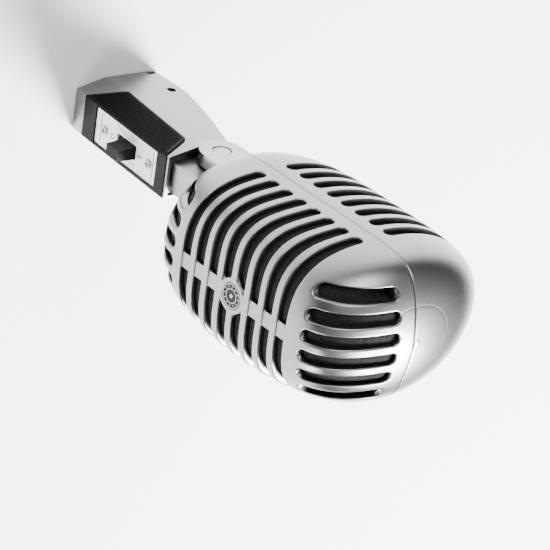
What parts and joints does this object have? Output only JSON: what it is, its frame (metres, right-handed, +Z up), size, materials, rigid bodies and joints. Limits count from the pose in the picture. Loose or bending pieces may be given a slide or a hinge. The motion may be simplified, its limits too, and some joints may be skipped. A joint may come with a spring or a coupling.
{
  "type": "desktop microphone",
  "caption": "Slotted die-cast microphone head that tilts on a slim stand-mount base with a slide switch and a socket underneath.",
  "frame": {"origin": "centre of the stand-thread hole on the flat underside of the base", "axes": "+Z up along the base, -Y towards the front of the head and the switch, +X to the head's own left"},
  "size_m": [0.0544, 0.0797, 0.188],
  "materials": {
    "nickel": "satin nickel plate on a die casting",
    "nickel_bright": "brighter machined and plated",
    "brass": "turned",
    "black_plastic": "fine satin",
    "plate_white": "satin",
    "steel": "plated steel",
    "foam": "open-cell foam",
    "enamel": "enamel and plated relief",
    "rubber": "matt",
    "can": "satin",
    "coil": "lacquered winding"
  },
  "bodies": {
    "base": {"base_casting": "nickel", "thread_insert": "brass", "xlr_insert": "black_plastic", "xlr_pins": "steel", "xlr_set_screw": "steel", "switch_surround": "black_plastic", "switch_plate": "plate_white", "plate_screws": "steel", "switch_body": "black_plastic", "switch_terminals": "steel", "pivot_pin": "nickel_bright", "friction_washers": "steel"},
    "knob": {"switch_knob": "black_plastic"},
    "head": {"front_grille": "nickel", "rear_shell": "nickel", "shell_dowels": "steel", "emblem": "enamel", "foam_front": "foam", "foam_rear": "foam", "swivel_fork": "nickel_bright", "fork_screws": "steel", "chassis_plate": "steel", "chassis_screws": "steel", "cartridge_body": "can", "cartridge_grille": "can", "magnet_can": "can", "suspension_ring": "rubber", "cradle": "can", "transformer_core": "steel", "transformer_coil": "coil"}
  },
  "joints": [
    {"name": "head_tilt", "type": "hinge", "parent": "base", "child": "head", "pos_m": [0, 0.0029, 0.0675], "axis": [1, 0, 0], "range_deg": [-80, 55]},
    {"name": "switch_slide", "type": "slide", "parent": "base", "child": "knob", "axis": [0, -0.0488, 0.9988], "range_m": [-0.0041, 0]}
  ]
}
